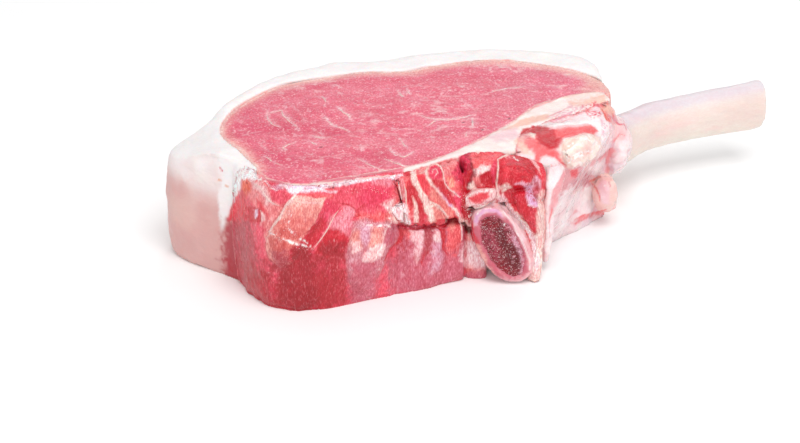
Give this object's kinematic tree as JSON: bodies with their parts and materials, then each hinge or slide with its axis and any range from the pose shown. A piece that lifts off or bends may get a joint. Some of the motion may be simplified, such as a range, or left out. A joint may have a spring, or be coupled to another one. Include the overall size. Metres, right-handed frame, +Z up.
{
  "type": "raw pork rib chop",
  "caption": "Thick bone-in pork loin chop, raw, with a fat cap, a seam of fat, sawn spine bone and a bare rib bone.",
  "frame": {"origin": "middle of the chop's box, on the surface that it lies on", "axes": "+X towards the bare end of the rib bone, +Y away from the spine side, +Z up through the chop's thickness"},
  "size_m": [0.169, 0.0978, 0.0356],
  "materials": {
    "lean": "moist raw lean meat, rose pink, faintly marbled",
    "red_lean": "wet raw lean meat, deep red",
    "pale_lean": "raw lean meat under a thin pale skin, salmon pink",
    "fat": "firm white back fat",
    "seam": "soft pinkish-white fat and sinew",
    "marrow": "sawn spongy bone with dark red marrow",
    "cartilage": "smooth wet cartilage, bluish pink",
    "membrane": "thin wet membrane over fat, pale pink",
    "bone": "scraped rib bone, pinkish cream, slightly moist"
  },
  "bodies": {
    "root": {"loin_eye": "lean", "fat_cap": "fat", "seam_fat": "seam", "chain_meat": "red_lean", "under_meat": "red_lean", "feather_bone": "marrow", "spine_meat": "seam", "chine_bone": "marrow", "cartilage_rim": "cartilage", "neck_meat": "red_lean", "spine_strap": "seam", "rib_meat": "membrane", "cartilage_blade": "cartilage", "shoulder_strip": "red_lean", "shoulder_fat": "fat", "meat_lobe": "pale_lean", "rib_collar": "membrane", "rib_bone": "bone", "sinew_flap": "pale_lean", "silverskin": "membrane", "fat_tab": "fat", "red_patch": "red_lean", "spine_facet": "cartilage", "red_streak": "red_lean", "strand_lean_1": "red_lean", "strand_lean_2": "red_lean", "strand_lean_3": "red_lean", "strand_fat_1": "fat", "strand_lean_4": "red_lean", "strand_fat_2": "fat", "strand_lean_5": "red_lean"}
  },
  "joints": []
}
